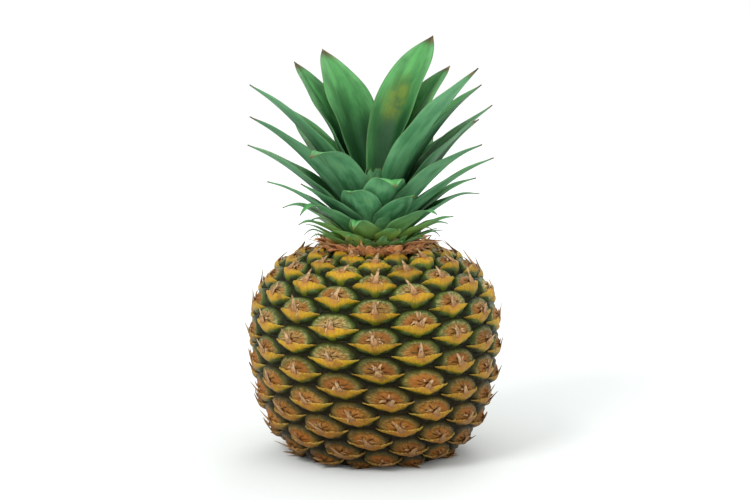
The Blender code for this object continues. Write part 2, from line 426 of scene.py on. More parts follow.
def bract_edges(eye, x):
    """(bottom, top) of a bract, in rows up from the eye's middle, at -1 to 1 across."""
    side = np.abs(x)
    a, b, c, d = eye.rags
    rag = np.sin(8 * x + a) + np.sin(19 * x + b) + 0.8 * np.sin(37 * x + c)
    top = -0.085 + eye.lip - 0.020 * side**2 + 0.010 * rag * (1 - side**4)
    low = -0.520 + 0.395 * np.clip((side - 0.06) / 0.94, 0, 1) ** 1.05
    return np.minimum(low, top - 0.014), top


def build_bracts(eyes, material):
    """The fleshy scale over the lower third of each eye, with a thin ragged upper edge."""
    across = 41
    x = np.linspace(-1, 1, across)
    x = 0.5 * np.sin(x * math.pi / 2) + 0.5 * x
    sheets = Sheets()
    for eye in eyes:
        low, top = bract_edges(eye, x)
        over = x * BRACT_HALF
        crest = eye_dome(over * 0.93, top) + eye.swell * (1 - x**2)
        wave = 0.18 * np.sin(13 * x + eye.rags[3]) + 0.12 * np.sin(29 * x + eye.rags[0])
        crest = crest + MM * (0.35 + 0.55 * (1 - np.abs(x) ** 2.2) + wave)
        base = np.full(across, -GROOVE - 0.3 * MM)
        rows, lifts = [], []
        for share in np.linspace(0, 1, 9):
            bulge = 0.35 * MM * math.sin(share * math.pi) * (1 - x**2)
            out = base + (crest - base) * math.sin(share * math.pi / 2) ** 0.5 + bulge
            rows.append(eye.at(over, low + (top - low) * share, out))
            lifts.append(np.full(across, share))
        for rise, drop, mark in ((0.014, 0.15, 1.03), (0.016, 0.55, 1.12), (-0.01, 2.2, 1.4)):
            rows.append(eye.at(over, top + rise, crest - drop * MM))
            lifts.append(np.full(across, mark))
        points = np.concatenate(rows)
        points[:, 2] = np.clip(points[:, 2], 0.1 * MM, None)
        sheets.add(
            points,
            grid_faces(len(rows), across),
            lift=np.concatenate(lifts),
            over=np.tile(x, len(rows)),
            tone=eye.tone,
            level=eye.level,
        )
    return sheets.build("eye_bracts", material)


def add_sliver(sheets, eye, start, turn, length, width, lift, rise):
    """A thin dry flap lying on an eye, its tip lifting. Start is (across, up) in metres."""
    steps, sides = 9, 6
    around = np.linspace(0, 2 * math.pi, sides, endpoint=False)
    column_width = float(barrel_radius(outline(np.array(eye.along))[1])) * 2 * math.pi / EYE_COLUMNS
    t = np.linspace(0, 1, steps)
    curl = turn * (0.55 + 0.45 * t)
    across = start[0] + length * t * np.sin(curl)
    up = start[1] + length * t * np.cos(curl)
    out = lift + rise * t**1.8 + 0.3 * MM * np.sin(t * math.pi)
    half = width / 2 * (1 - t) ** 0.8 * (1 + 0.15 * np.sin(9 * t + turn)) + 0.09 * MM
    thick = 0.42 * MM * (1 - t) + 0.09 * MM
    rings = []
    for i in range(steps):
        side = half[i] * np.cos(around)
        fold = 0.28 * np.abs(side) - 0.2 * half[i]
        rings.append(
            eye.at(
                (across[i] + side * math.cos(curl[i])) / column_width,
                (up[i] - side * math.sin(curl[i])) / EYE_HEIGHT,
                out[i] + thick[i] * np.sin(around) + fold,
            )
        )
    points = np.concatenate(rings)
    points[:, 2] = np.clip(points[:, 2], 0.1 * MM, None)
    faces = grid_faces(steps, sides, wrap=True)
    faces.append(tuple(range((steps - 1) * sides, steps * sides)))
    faces.append(tuple(range(sides))[::-1])
    sheets.add(points, faces, lift=np.repeat(t, sides), tone=eye.tone, level=eye.level)


def build_spines(eyes, material):
    """The dry point that each bract ends in, and the withered flower parts round it."""
    sheets = Sheets()
    for eye in eyes:
        aged = 0.75 if eye.level < 0.12 else 1.0
        foot = (eye.shift * 8 * MM, (-0.13 + eye.lip) * EYE_HEIGHT)
        crest = float(eye_dome(np.zeros(1), np.array([-0.105 + eye.lip]))[0]) + eye.swell + 0.9 * MM
        rise = (0.3 + 3.0 * eye.spine_rise) * MM
        add_sliver(sheets, eye, foot, eye.spine_sway, eye.spine * aged, 3.6 * MM, crest, rise)
        for k, (turn, length) in enumerate(eye.slivers):
            reach = (0.7 + 0.25 * k) * MM
            start = (reach * math.sin(turn), reach * math.cos(turn) + 0.3 * MM)
            place = (start[0] / (22 * MM), start[1] / EYE_HEIGHT)
            lift = float(eye.surface(np.array([place[0]]), np.array([place[1]]))[0]) + 0.25 * MM
            rise = (0.2 + 0.25 * (k % 3)) * MM
            add_sliver(sheets, eye, start, turn, length, 1.6 * MM, lift, rise)
    return sheets.build("eye_spines", material)


# ---- materials of the fruit


def toned(g, colour, tone, low, span, level=None):
    """The colour made lighter or darker by a piece's tone, and darkened by painted shade near the
    fruit's foot.
    """
    light = g.plus(low, g.times(tone, span))
    if level is not None:
        # painted shade, darker towards the fruit's foot
        light = g.times(light, g.band(level, 0.02, 0.30, 0.58, 1.0))
    shade = g.node("CombineColor", Red=light, Green=light, Blue=light)
    return g.mix(1.0, colour, shade.outputs[0], "MULTIPLY")


def flat_noise(g, x, y, key, scale, rough=0.65):
    """Noise in a piece's own two directions, different for each key."""
    place = g.node("CombineXYZ", X=x, Y=y, Z=key)
    return g.noise(place.outputs[0], scale, 3.0, rough)


def skin_material():
    g = Graph("fruit_skin")
    place = g.place()
    rim, up, tone, level = (g.attribute(n) for n in ("rim", "up", "tone", "level"))
    over, crease = g.attribute("over"), g.attribute("crease")
    mottle = g.noise(place, 260.0, 4.0, 0.6)
    blotch = g.noise(place, 75.0, 2.0, 0.5)
    grain = g.noise(place, 1100.0, 3.0, 0.6)
    key = g.times(tone, 40.0)
    turn = g.math("ARCTAN2", up, over)
    fibre = flat_noise(g, turn, g.times(rim, 0.7), key, 7.0, 0.80)
    wander = g.times(g.math("SUBTRACT", mottle, 0.5), 0.36)
    ring = g.plus(rim, wander)
    high = g.band(level, 0.28, 0.70)
    upper = g.band(level, 0.38, 0.85)
    peach = g.mix(upper, (0.265, 0.088, 0.008), (0.370, 0.142, 0.022))
    straw = g.mix(upper, (0.160, 0.064, 0.004), (0.210, 0.132, 0.014))
    pale = g.mix(upper, (0.360, 0.165, 0.030), (0.490, 0.320, 0.115))
    field = g.mix(g.band(mottle, 0.35, 0.65), peach, straw)
    field = g.mix(g.band(fibre, 0.48, 0.60), field, pale)
    field = g.cover(field, g.band(fibre, 0.42, 0.30), 0.80, (0.110, 0.040, 0.006))
    ashen = g.times(g.times(g.band(tone, 0.50, 0.85), high), 0.50)
    ash = g.mix(g.band(fibre, 0.40, 0.60), (0.100, 0.095, 0.020), (0.420, 0.370, 0.180))
    field = g.mix(ashen, field, ash)
    # olive between the dry middle and the arch
    olive = g.mix(high, (0.120, 0.060, 0.006), (0.105, 0.110, 0.018))
    streak = g.mix(high, (0.240, 0.135, 0.024), (0.290, 0.290, 0.105))
    olive = g.mix(g.band(fibre, 0.44, 0.60), olive, streak)
    colour = g.mix(g.band(ring, 0.46, 0.66), field, olive)
    green = g.mix(g.band(blotch, 0.35, 0.65), (0.022, 0.040, 0.004), (0.058, 0.100, 0.013))
    brown = g.mix(g.band(blotch, 0.35, 0.65), (0.032, 0.022, 0.002), (0.075, 0.050, 0.005))
    arch = g.mix(high, brown, green)
    streak = g.mix(high, (0.130, 0.085, 0.018), (0.150, 0.160, 0.046))
    arch = g.cover(arch, g.band(fibre, 0.56, 0.74), 0.60, streak)
    # darker outer edge of each arch: its own dark rim, with painted shade from the groove beside it
    arch = g.cover(arch, g.band(ring, 0.80, 0.94), 0.80, (0.013, 0.015, 0.002))
    colour = g.mix(g.band(ring, 0.66, 0.82), colour, arch)
    rust = g.times(g.band(blotch, 0.46, 0.62), g.band(ring, 0.80, 0.45))
    colour = g.cover(colour, rust, 0.75, (0.270, 0.084, 0.007))
    # painted shade in the deepest dry folds and the middle pit of each eye
    colour = g.cover(colour, g.band(crease, 0.25, 0.75), 0.85, (0.050, 0.020, 0.006))
    # painted shade: near-black in the grooves between the eyes
    groove = g.band(rim, 0.88, 1.02)
    colour = g.mix(groove, colour, g.mix(high, (0.016, 0.010, 0.002), (0.012, 0.014, 0.002)))
    specks = g.band(g.cells(place, 620.0), 0.20, 0.10)
    colour = g.cover(colour, specks, 0.35, (0.070, 0.036, 0.008))
    colour = toned(g, colour, tone, 0.74, 0.40, level)
    relief = g.plus(g.times(fibre, 0.9), g.times(grain, 0.35))
    normal = g.bump(g.plus(relief, g.times(mottle, 0.6)), 0.8, 0.9 * MM)
    rough = g.band(mottle, 0.3, 0.7, 0.38, 0.62)
    return g.surface(Base_Color=colour, Roughness=rough, Normal=normal, Specular_IOR_Level=0.20)


def bract_material():
    g = Graph("eye_bract")
    place = g.place()
    lift, over, tone, level = (g.attribute(n) for n in ("lift", "over", "tone", "level"))
    side = g.math("ABSOLUTE", over)
    mottle = g.noise(place, 240.0, 3.0, 0.6)
    key = g.times(tone, 30.0)
    streak = flat_noise(g, g.times(over, 9.0), lift, key, 2.6)
    high = g.band(level, 0.22, 0.60)
    yellow = g.mix(high, (0.285, 0.130, 0.003), (0.470, 0.285, 0.006))
    deep = g.mix(high, (0.170, 0.062, 0.002), (0.350, 0.180, 0.004))
    body = g.mix(g.band(streak, 0.34, 0.64), deep, yellow)
    patch = g.mix(high, (0.300, 0.125, 0.008), (0.420, 0.190, 0.022))
    body = g.cover(body, g.band(mottle, 0.50, 0.66), 0.45, patch)
    sides = g.times(g.band(side, 0.45, 0.85), g.band(tone, 0.2, 0.8))
    body = g.cover(body, sides, 0.55, (0.170, 0.170, 0.008))
    foot = g.mix(high, (0.052, 0.042, 0.002), (0.080, 0.110, 0.005))
    height = g.plus(lift, g.times(g.math("SUBTRACT", mottle, 0.5), 0.50))
    colour = g.mix(g.band(height, 0.52, 0.16), body, foot)
    heart = g.times(g.band(side, 0.42, 0.06), g.band(height, 0.42, 0.85))
    dried = g.mix(high, (0.260, 0.095, 0.010), (0.380, 0.160, 0.028))
    colour = g.cover(colour, heart, 0.80, dried)
    tip = g.band(g.plus(side, g.times(mottle, 0.2)), 0.88, 1.10)
    colour = g.cover(colour, tip, 0.6, (0.300, 0.210, 0.050))
    lip = g.times(g.band(lift, 0.94, 1.02), g.band(streak, 0.40, 0.60))
    colour = g.cover(colour, lip, 0.75, (0.460, 0.290, 0.080))
    # painted shade on the rows tucked back under the bract's upper edge
    colour = g.mix(g.band(lift, 1.10, 1.30), colour, (0.060, 0.028, 0.006))
    stain = g.band(g.noise(place, 130.0, 3.0, 0.6), 0.54, 0.66)
    colour = g.cover(colour, stain, 0.5, (0.130, 0.050, 0.008))
    colour = toned(g, colour, tone, 0.78, 0.36, level)
    normal = g.bump(g.plus(streak, g.times(mottle, 0.7)), 0.7, 0.6 * MM)
    rough = g.band(mottle, 0.3, 0.7, 0.38, 0.55)
    return g.surface(Base_Color=colour, Roughness=rough, Normal=normal, Specular_IOR_Level=0.22)


def spine_material():
    g = Graph("eye_spine")
    place = g.place()
    lift, tone, level = (g.attribute(n) for n in ("lift", "tone", "level"))
    high = g.band(level, 0.15, 0.5)
    streak = g.noise(g.scaled(place, (1.0, 1.0, 0.35)), 900.0, 3.0, 0.65)
    root = g.mix(high, (0.210, 0.085, 0.012), (0.340, 0.150, 0.040))
    tip = g.mix(high, (0.290, 0.150, 0.044), (0.500, 0.330, 0.165))
    colour = g.mix(g.band(lift, 0.05, 0.60), root, tip)
    colour = g.mix(g.band(streak, 0.56, 0.40), colour, (0.200, 0.100, 0.035))
    colour = g.mix(g.band(lift, 0.90, 1.0), colour, (0.200, 0.110, 0.045))
    normal = g.bump(streak, 0.8, 0.3 * MM)
    return g.surface(Base_Color=colour, Roughness=0.75, Normal=normal)


# ---- leaves and scales


def unique_points(node):
    """A CAD node's corners, each once."""
    co = np.array([v.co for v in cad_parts[node].data.vertices], float)
    return np.unique(np.round(co, 6), axis=0)


class Blade:
    """A CAD leaf's middle line and half widths, read from the rows of corners of its sheet."""

    def __init__(self, node):
        self.node = node
        co = unique_points(node)
        middle = co.mean(0)
        start = math.atan2(middle[0], -middle[1])
        radius = np.hypot(co[:, 0], co[:, 1])
        turn = np.arctan2(co[:, 0], -co[:, 1]) - start
        turn = (turn + math.pi) % (2 * math.pi) - math.pi
        order = np.argsort(radius + co[:, 2])
        measure = (radius + co[:, 2])[order]
        cuts = np.where(np.diff(measure) > 1.6 * MM)[0] + 1
        rows = np.split(order, cuts)
        self.radius = np.array([radius[r].mean() for r in rows])
        self.height = np.array([co[r, 2].mean() for r in rows])
        self.turn = np.array([start + (turn[r].max() + turn[r].min()) / 2 for r in rows])
        self.half = np.array([(turn[r].max() - turn[r].min()) / 2 * radius[r].mean() for r in rows])
        steps = np.hypot(np.diff(self.radius), np.diff(self.height))
        self.along = np.concatenate([[0], np.cumsum(steps)])
        self.length = self.along[-1]
        self.width = 2 * self.half.max()
        self.azimuth = math.degrees(self.turn[0]) % 360


def ease(places, values, at):
    """Values between rows by a smooth curve through them."""
    slopes = np.gradient(values, places)
    index = np.clip(np.searchsorted(places, at) - 1, 0, len(places) - 2)
    span = places[index + 1] - places[index]
    t = (at - places[index]) / span
    a, b = values[index], values[index + 1]
    sa, sb = slopes[index] * span, slopes[index + 1] * span
    return (
        (2 * t**3 - 3 * t**2 + 1) * a
        + (t**3 - 2 * t**2 + t) * sa
        + (3 * t**2 - 2 * t**3) * b
        + (t**3 - t**2) * sb
    )


def blade_points(blade, chance, rows, columns, shape, cup, bend=0.0, bend_from=0.6, twist=0.0):
    """A grid of points on a leaf's sheet, its unit normals, and each point's place in the sheet.

    The place is -1 to 1 across and 0 to 1 from root to tip. The bend turns the tip outwards, cup
    lifts the edges, and twist tilts the tip sideways."""
    t = np.linspace(0, 1, rows)
    at = t * blade.length
    radius = ease(blade.along, blade.radius, at)
    height = ease(blade.along, blade.height, at)
    turn = ease(blade.along, blade.turn, at)
    lean = np.arctan2(np.gradient(radius), np.gradient(height))
    lean = lean + bend * smoothstep(bend_from, 1.0, t)
    step = blade.length / (rows - 1)
    middle_lean = (lean[1:] + lean[:-1]) / 2
    radius = radius[0] + np.concatenate([[0], np.cumsum(np.sin(middle_lean) * step)])
    height = height[0] + np.concatenate([[0], np.cumsum(np.cos(middle_lean) * step)])
    half = shape(t) * blade.width / 2
    x = np.linspace(-1, 1, columns)
    x = np.sign(x) * np.abs(x) ** 0.9
    phase = chance.uniform(0, 6.28)
    waves = chance.uniform(1.5, 3.0)
    ripple = 0.045 * np.sin(waves * 2 * math.pi * t + phase) * smoothstep(0.15, 0.5, t)
    roll = twist * smoothstep(0.3, 1.0, t)
    normal_r, normal_z = -np.cos(lean), np.sin(lean)
    xx, tt = np.meshgrid(x, t)
    hh = half[:, None] * xx
    rr = np.maximum(radius, 3 * MM)[:, None]
    rise = half[:, None] * (cup * xx**2 + (ripple[:, None] * xx**3) + roll[:, None] * xx)
    rise = rise - half[:, None] * 0.09 * np.exp(-((xx / 0.16) ** 2))
    angle = turn[:, None] + hh / rr
    out_r = rr + normal_r[:, None] * rise
    out_z = height[:, None] + normal_z[:, None] * rise
    points = np.stack([out_r * np.sin(angle), -out_r * np.cos(angle), out_z], -1)
    along_v = np.gradient(points, axis=0)
    across_v = np.gradient(points, axis=1)
    normal = np.cross(across_v, along_v)
    normal /= np.maximum(np.linalg.norm(normal, axis=-1, keepdims=True), 1e-12)
    return points, normal, xx, tt


def gather_blade(sheets, points, normal, xx, tt, thick, **values):
    """The grid made solid, with the same attributes on both faces."""
    rows, columns = xx.shape
    wall = thick * (1 - 0.80 * np.abs(xx) ** 2.5) * (1 - 0.55 * tt)
    front = points + normal * wall[..., None] / 2
    back = points - normal * wall[..., None] / 2
    n = rows * columns
    faces = grid_faces(rows, columns, 0) + grid_faces(rows, columns, n, flip=True)
    edge = (
        [(i * columns) for i in range(rows)]
        + [(rows - 1) * columns + j for j in range(1, columns)]
        + [i * columns + columns - 1 for i in range(rows - 2, -1, -1)]
        + [j for j in range(columns - 2, 0, -1)]
    )
    for a, b in zip(edge, edge[1:] + edge[:1]):
        faces.append((a, b, b + n, a + n))
    sheets.add(
        np.concatenate([front.reshape(-1, 3), back.reshape(-1, 3)]),
        faces,
        side=np.tile(xx.reshape(-1), 2),
        along=np.tile(tt.reshape(-1), 2),
        inner=np.repeat([0.0, 1.0], n),
        **values,
    )


def add_blade(name, points, normal, xx, tt, thick, material, **values):
    """One blade as a piece of its own."""
    sheets = Sheets()
    gather_blade(sheets, points, normal, xx, tt, thick, **values)
    return sheets.build(name, material)


def leaf_shape(broadest, root, power):
    """Half width over the greatest half width, from root to tip."""

    def shape(t):
        low = root + (1 - root) * np.sin(np.clip(t / broadest, 0, 1) * math.pi / 2)
        high = 1 - np.clip((t - broadest) / (1 - broadest), 0, 1) ** power
        return np.maximum(np.where(t < broadest, low, high), 0.012)

    return shape


def leaf_material():
    g = Graph("crown_leaf")
    place = g.place()
    side, along, inner = (g.attribute(n) for n in ("side", "along", "inner"))
    tone, dry, low = (g.attribute(n) for n in ("tone", "dry", "low"))
    key = g.times(tone, 50.0)
    lines = flat_noise(g, g.times(side, 16.0), g.times(along, 0.9), key, 2.2, 0.7)
    broad = flat_noise(g, g.times(side, 1.5), g.times(along, 2.4), key, 1.7, 0.5)
    mottle = g.noise(place, 120.0, 4.0, 0.6)
    edge = g.math("ABSOLUTE", side)
    outer_green = g.mix(g.band(broad, 0.36, 0.66), (0.034, 0.145, 0.056), (0.098, 0.268, 0.126))
    outer_green = g.cover(outer_green, low, 0.85, (0.190, 0.430, 0.080))
    inner_green = g.mix(g.band(broad, 0.36, 0.66), (0.015, 0.112, 0.020), (0.064, 0.282, 0.070))
    colour = g.mix(inner, outer_green, inner_green)
    # pale bloom towards the tip and the edges
    far = g.times(g.band(along, 0.30, 0.95), 0.40)
    bloom = g.plus(far, g.times(g.band(edge, 0.30, 0.95), 0.26))
    bloom = g.times(bloom, g.band(mottle, 0.25, 0.75, 0.55, 1.25), clamp=True)
    colour = g.mix(bloom, colour, g.mix(inner, (0.130, 0.325, 0.160), (0.125, 0.345, 0.125)))
    colour = g.cover(colour, g.band(lines, 0.52, 0.72), 0.36, (0.135, 0.330, 0.145))
    colour = g.cover(colour, g.band(lines, 0.46, 0.28), 0.50, (0.010, 0.058, 0.016))
    # shaded trough low on the inner side
    trough = g.times(inner, g.band(along, 0.74, 0.30))
    trough = g.times(trough, g.band(edge, 1.30, 0.35))
    colour = g.cover(colour, trough, 0.90, (0.005, 0.034, 0.010))
    foot = g.times(g.times(low, g.band(along, 0.75, 0.10)), 0.90)
    colour = g.mix(foot, colour, (0.330, 0.440, 0.060))
    spot = g.times(g.band(broad, 0.62, 0.76), g.band(along, 0.40, 0.60))
    colour = g.cover(colour, spot, 0.50, (0.160, 0.230, 0.026))
    scar = g.times(g.band(g.attribute("scar"), 0.10, 0.85), g.band(mottle, 0.32, 0.64, 0.12, 0.62))
    faded = g.mix(g.band(lines, 0.40, 0.62), (0.190, 0.180, 0.014), (0.120, 0.240, 0.030))
    colour = g.mix(scar, colour, faded)
    wander = g.times(g.math("SUBTRACT", mottle, 0.5), 0.05)
    rim = g.band(g.plus(edge, wander), 0.93, 0.99)
    colour = g.cover(colour, rim, 0.40, (0.100, 0.150, 0.055))
    tip = g.plus(along, g.times(wander, 2.0))
    tip = g.math("SUBTRACT", tip, g.math("SUBTRACT", 1.0, dry))
    brown = g.mix(g.band(mottle, 0.4, 0.6), (0.046, 0.034, 0.012), (0.135, 0.092, 0.038))
    colour = g.mix(g.band(tip, -0.055, 0.03), colour, brown)
    colour = toned(g, colour, tone, 0.82, 0.34)
    normal = g.bump(g.plus(lines, g.times(mottle, 0.25)), 0.35, 0.35 * MM)
    rough = g.band(mottle, 0.3, 0.7, 0.48, 0.64)
    return g.surface(Base_Color=colour, Roughness=rough, Normal=normal, Specular_IOR_Level=0.16)


def scale_material():
    g = Graph("collar_scale")
    place = g.place()
    side, along, tone = (g.attribute(n) for n in ("side", "along", "tone"))
    key = g.times(tone, 50.0)
    lines = flat_noise(g, g.times(side, 7.0), g.times(along, 1.2), key, 2.5, 0.7)
    mottle = g.noise(place, 320.0, 4.0, 0.6)
    colour = g.mix(g.band(lines, 0.35, 0.65), (0.520, 0.180, 0.045), (0.840, 0.400, 0.150))
    colour = g.mix(g.band(mottle, 0.55, 0.75), colour, (0.760, 0.480, 0.270))
    edge = g.math("ABSOLUTE", side)
    colour = g.cover(colour, g.band(edge, 0.70, 1.0), 0.5, (0.780, 0.560, 0.360))
    worn = g.plus(along, g.times(mottle, 0.30))
    dark = g.times(g.band(worn, 0.85, 1.15), g.band(tone, 0.25, 0.45))
    colour = g.mix(dark, colour, (0.100, 0.042, 0.016))
    stain = g.times(g.band(mottle, 0.42, 0.28), 0.7)
    colour = g.mix(stain, colour, (0.140, 0.055, 0.016))
    normal = g.bump(g.plus(lines, g.times(mottle, 0.5)), 0.7, 0.4 * MM)
    return g.surface(Base_Color=colour, Roughness=0.72, Normal=normal)


def stalk_material():
    g = Graph("cut_stalk")
    place = g.place()
    grain = g.noise(place, 700.0, 4.0, 0.6)
    bundles = g.band(g.cells(place, 900.0), 0.30, 0.16)
    blotch = g.noise(place, 150.0, 3.0, 0.6)
    colour = g.mix(g.band(blotch, 0.35, 0.65), (0.360, 0.230, 0.100), (0.560, 0.420, 0.220))
    colour = g.cover(colour, bundles, 0.7, (0.170, 0.090, 0.035))
    colour = g.mix(g.band(grain, 0.60, 0.75), colour, (0.640, 0.540, 0.350))
    normal = g.bump(g.math("SUBTRACT", grain, g.times(bundles, 0.6)), 0.8, 0.5 * MM)
    return g.surface(Base_Color=colour, Roughness=0.85, Normal=normal)


def stem_material():
    g = Graph("crown_stem")
    place = g.place()
    grain = g.noise(g.scaled(place, (1.0, 1.0, 0.25)), 500.0, 3.0, 0.6)
    colour = g.mix(g.band(grain, 0.35, 0.65), (0.230, 0.170, 0.070), (0.380, 0.330, 0.140))
    return g.surface(Base_Color=colour, Roughness=0.7, Normal=g.bump(grain, 0.6, 0.4 * MM))


CROWN_STEM_RADIUS, STEM_TAPER = 17.0 * MM, 0.30
GOLDEN_ANGLE = 137.508  # from one leaf to the next, in degrees
# Short leaves whose tips fold outwards: azimuth of the leaf, bend in degrees, where it starts
BENT = {318: (62, 0.60), 12: (84, 0.58), 338: (45, 0.55), 28: (35, 0.6)}
LONGEST_BENT = 62 * MM
# Shares of the leaves, from the lowest up, where each of these ends or, for the tall, starts
YELLOWED, THIN, HOOKED, PALE, SPREADING, TALL = 0.32, 0.35, 0.38, 0.4, 0.5, 0.9
# Tone of the leaves that stand out from their neighbours, and the one with a faded patch
LIGHTNESS = {"43": 0.85, "42": 0.85, "38": 1.5, "35": 1.2, "31": 0.8, "29": 1.7, "24": 1.9, "20": 1.3}
FADED_LEAF = "43"


class OwnBlade:
    """A blade with no CAD node. Its lean is in degrees from upright, at its root and its tip."""

    def __init__(self, azimuth, radius, height, lean, length, width, rows=9):
        t = np.linspace(0, 1, rows)
        leans = np.radians(lean[0] + (lean[1] - lean[0]) * (t[1:] + t[:-1]) / 2)
        step = length / (rows - 1)
        self.radius = radius + np.concatenate([[0], np.cumsum(np.sin(leans) * step)])
        self.height = height + np.concatenate([[0], np.cumsum(np.cos(leans) * step)])
        self.turn = np.full(rows, math.radians(azimuth))
        self.along = np.linspace(0, length, rows)
        self.length, self.width = length, width


def yellowed_patch(node, xx, tt):
    """How faded a leaf is at its points, on both faces: 0 to 1."""
    if not node.endswith(FADED_LEAF):
        return 0.0
    patch = np.exp(-(((xx - 0.26) / 0.46) ** 2) - (((tt - 0.52) / 0.16) ** 2))
    return np.tile(patch.reshape(-1), 2)


def build_leaves():
    look = leaf_material()
    names = sorted(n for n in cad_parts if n.startswith("crown_leaf"))
    for index, node in enumerate(names):
        chance = random.Random(100 + index)
        blade = Blade(node)
        share = index / (len(names) - 1)
        bend, bend_from = math.radians(chance.uniform(-4, 12)), 0.55
        if share < HOOKED and index % 3:
            bend, bend_from = math.radians(chance.uniform(25, 70)), 0.62
        for azimuth, (degrees, start) in BENT.items():
            near = abs((blade.azimuth - azimuth + 180) % 360 - 180) < 4
            if share > PALE and near and blade.length < LONGEST_BENT:
                bend, bend_from = math.radians(degrees), start
        tall = share > TALL
        if share < SPREADING:
            shape = leaf_shape(chance.uniform(0.24, 0.32), 0.78, chance.uniform(1.05, 1.30))
        elif share < TALL:
            shape = leaf_shape(chance.uniform(0.36, 0.44), 0.66, chance.uniform(1.5, 1.9))
        else:
            shape = leaf_shape(0.46, 0.66, 2.4)
        rows, columns, thick = (49, 17, 1.5 * MM) if share > THIN else (33, 13, 1.1 * MM)
        sheet = blade_points(
            blade,
            chance,
            rows,
            columns,
            shape,
            chance.uniform(0.10, 0.20) * (0.6 if tall else 1.0),
            bend,
            bend_from,
            twist=chance.uniform(-0.12, 0.12),
        )
        leaf = add_blade(
            node + "_look",
            *sheet,
            thick,
            look,
            tone=LIGHTNESS.get(node[-2:], chance.random() + (0.7 if share < PALE else 0.0)),
            dry=0.06 if tall else chance.choice((0.02, 0.025, 0.035, 0.05)),
            scar=yellowed_patch(node, *sheet[2:]),
            low=max(0.0, 1 - share / YELLOWED),
        )
        show(leaf, "crown_leaf", node)
    return look


def build_heart(look):
    """Short inner leaves up the stem, and the smallest ones folded over its growing tip."""
    neck = fruit_high.z
    ring = Sheets()
    chance = random.Random(200)
    for k in range(14):
        rise = (9 + 1.35 * k) * MM
        radius = CROWN_STEM_RADIUS - STEM_TAPER * rise + 0.7 * MM
        lean = (27 - 0.9 * k, chance.uniform(36, 46) - 2.0 * k)
        azimuth, length = 20 + GOLDEN_ANGLE * k, chance.uniform(17, 20) * MM
        blade = OwnBlade(azimuth, radius, neck + rise, lean, length, 13.5 * MM)
        sheet = blade_points(blade, chance, 17, 9, leaf_shape(0.34, 0.8, 1.6), 0.15)
        gather_blade(ring, *sheet, 0.9 * MM, tone=chance.random(), dry=0.03, low=0.1)
    show(ring.build("crown_inner_leaves", look), "crown_leaf")
    for k in range(9):
        chance = random.Random(300 + k)
        azimuth = 62 + GOLDEN_ANGLE * k
        root = ((7.4 - 0.62 * k) * MM, neck + (28.0 + 0.75 * k) * MM)
        lean = (14 - 1.2 * k, 2 - 4.0 * k)
        blade = OwnBlade(azimuth, *root, lean, (15.0 - 0.75 * k) * MM, (11.0 - 0.6 * k) * MM)
        sheet = blade_points(blade, chance, 17, 9, leaf_shape(0.36, 0.85, 1.5), 0.12)
        leaf = add_blade(
            f"crown_heart_{k + 1}", *sheet, 0.9 * MM, look, tone=chance.random(), dry=0.03, low=0.2
        )
        show(leaf, "crown_leaf")


def build_stem(material):
    """The crown's stem, ending in a blunt tip under the smallest leaves."""
    top = 30.0 * MM
    rises = np.concatenate([np.linspace(0.3 * MM, top, 15), [top + 1.2 * MM, top + 1.8 * MM]])
    radii = CROWN_STEM_RADIUS - STEM_TAPER * np.minimum(rises, top)
    radii[-2:] *= (0.7, 0.05)
    turn = np.linspace(0, 2 * math.pi, 48, endpoint=False)
    ridged = radii[:, None] - 0.25 * MM * np.abs(np.sin(6 * turn + rises[:, None] * 900))
    heights = np.repeat((fruit_high.z + rises)[:, None], 48, 1)
    points = np.stack([ridged * np.sin(turn), -ridged * np.cos(turn), heights], -1)
    faces = grid_faces(len(rises), 48, wrap=True)
    faces += [tuple(range(48))[::-1], tuple(range((len(rises) - 1) * 48, len(rises) * 48))]
    sheets = Sheets()
    sheets.add(points, faces)
    show(sheets.build("crown_stem_look", material), "crown_stem", "crown_stem")


def build_base_leaves(look):
    """Short yellow-green leaves round the foot of the crown, under the lowest CAD ones."""
    neck = fruit_high.z
    sheets = Sheets()
    chance = random.Random(700)
    for k in range(21):
        azimuth = k * GOLDEN_ANGLE + chance.uniform(-6, 6)
        rise = (0.6 + 0.12 * k) * MM
        radius = CROWN_STEM_RADIUS - STEM_TAPER * rise + 0.6 * MM
        lean = (chance.uniform(34, 46), chance.uniform(58, 70))
        length, width = chance.uniform(9.5, 12.0) * MM, chance.uniform(9, 13) * MM
        blade = OwnBlade(azimuth, radius, neck + rise, lean, length, width)
        cup = chance.uniform(0.1, 0.3)
        sheet = blade_points(blade, chance, 15, 9, leaf_shape(0.22, 0.85, 1.15), cup)
        tone, low = chance.uniform(0.5, 1.6), chance.uniform(0.5, 1.1)
        gather_blade(sheets, *sheet, 0.8 * MM, tone=tone, dry=0.06, low=low)
    # narrow ragged ones with dry hooked tips
    for k in range(18):
        azimuth = 40 + k * GOLDEN_ANGLE + chance.uniform(-8, 8)
        rise = chance.uniform(1.5, 4.0) * MM
        radius = CROWN_STEM_RADIUS - STEM_TAPER * rise + 0.8 * MM
        lean = (chance.uniform(50, 58), chance.uniform(66, 80))
        length, width = chance.uniform(17, 26) * MM, chance.uniform(5.5, 8) * MM
        blade = OwnBlade(azimuth, radius, neck + rise, lean, length, width)
        hook = math.radians(chance.uniform(10, 80))
        sheet = blade_points(blade, chance, 21, 7, leaf_shape(0.20, 0.9, 1.1), 0.25, hook, 0.62)
        tone, dry = chance.uniform(0.2, 1.2), chance.uniform(0.05, 0.14)
        gather_blade(sheets, *sheet, 0.7 * MM, tone=tone, dry=dry, low=chance.uniform(0.2, 0.8))
    show(sheets.build("crown_base_leaves", look), "crown_leaf")


